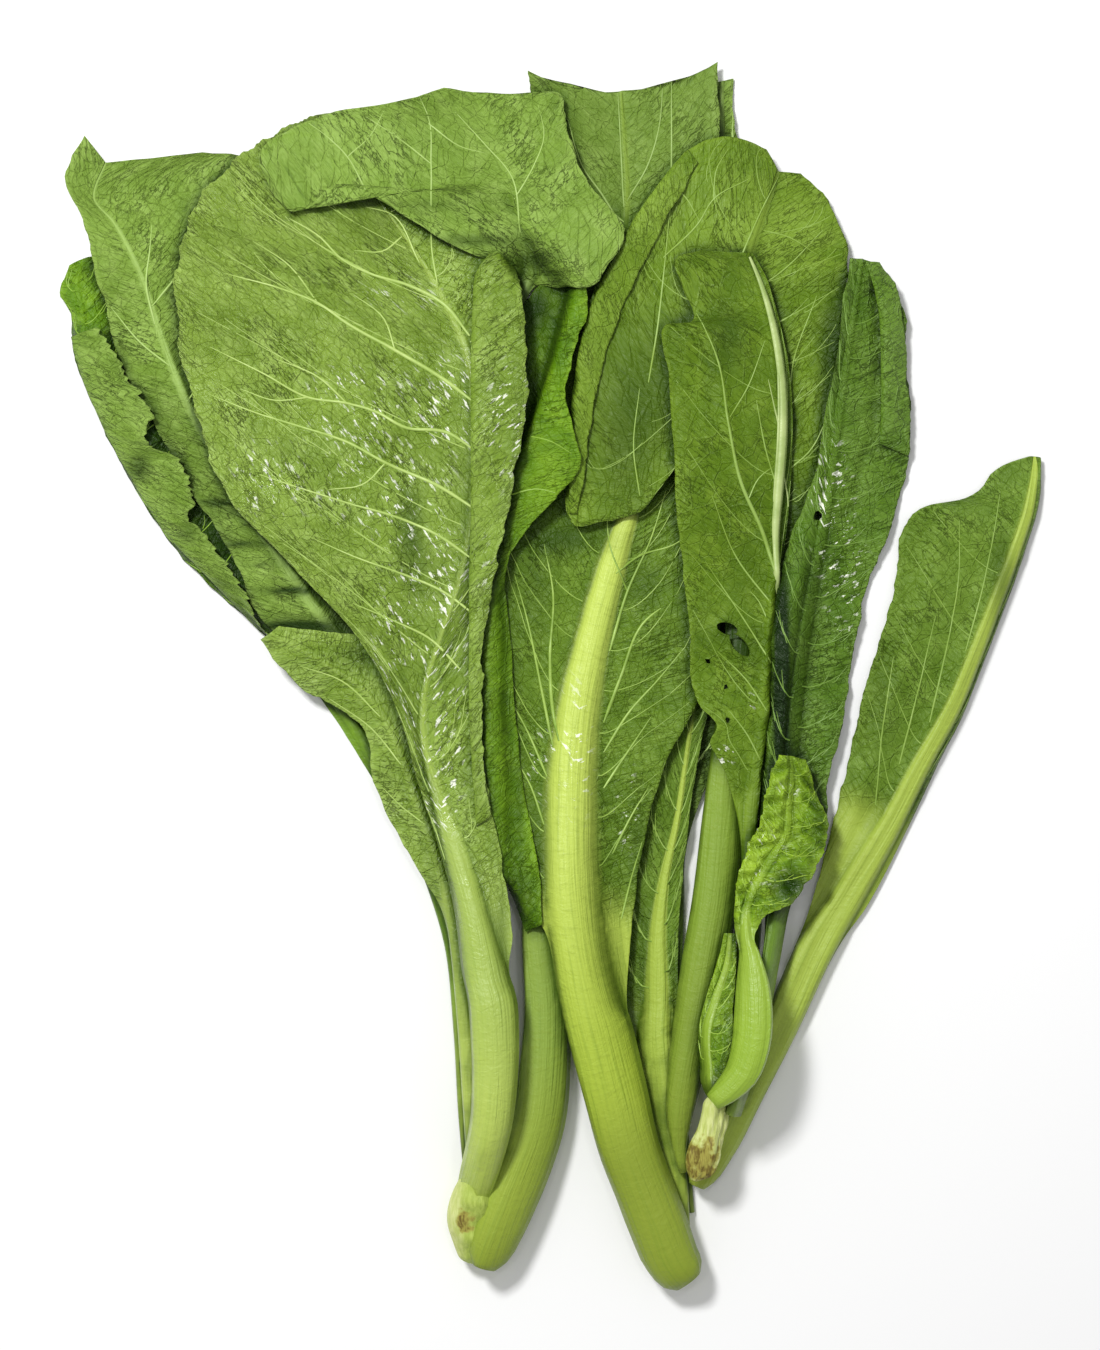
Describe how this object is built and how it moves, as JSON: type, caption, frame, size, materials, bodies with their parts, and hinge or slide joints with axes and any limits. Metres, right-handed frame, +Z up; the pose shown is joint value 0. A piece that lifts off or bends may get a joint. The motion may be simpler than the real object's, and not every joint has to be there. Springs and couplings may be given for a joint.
{
  "type": "mustard greens",
  "caption": "Loose bunch of fresh mustard greens lying flat, with broad crinkled leaves on pale, thick stalks.",
  "frame": {"origin": "bottom centre of the bounding box, on the surface that the bunch lies on", "axes": "+X to the right across the bunch, +Y along it from the cut stalks to the leaf tips, +Z up"},
  "size_m": [0.3312, 0.4142, 0.0364],
  "materials": {
    "leaf_dull": "satin",
    "leaf_bright": "satin",
    "leaf_pale": "satin",
    "leaf_wet": "wet",
    "leaf_dark": "satin",
    "cut_stalk": "matte"
  },
  "bodies": {
    "root": {"back_leaf_middle": "leaf_dull", "outer_leaf_left": "leaf_bright", "under_leaf_left": "leaf_dull", "low_leaf_left": "leaf_bright", "crinkled_leaf_top": "leaf_dull", "long_leaf_back": "leaf_dull", "slim_leaf_middle": "leaf_dull", "pale_leaf_front": "leaf_pale", "round_leaf_back": "leaf_bright", "bright_leaf_inner": "leaf_bright", "broad_leaf_front": "leaf_wet", "folded_leaf_front": "leaf_bright", "dark_leaf_right": "leaf_dark", "far_leaf_right": "leaf_pale", "small_leaf_inner": "leaf_pale", "young_leaf_curled": "leaf_bright", "crown_left": "cut_stalk", "crown_right": "cut_stalk"}
  },
  "joints": []
}
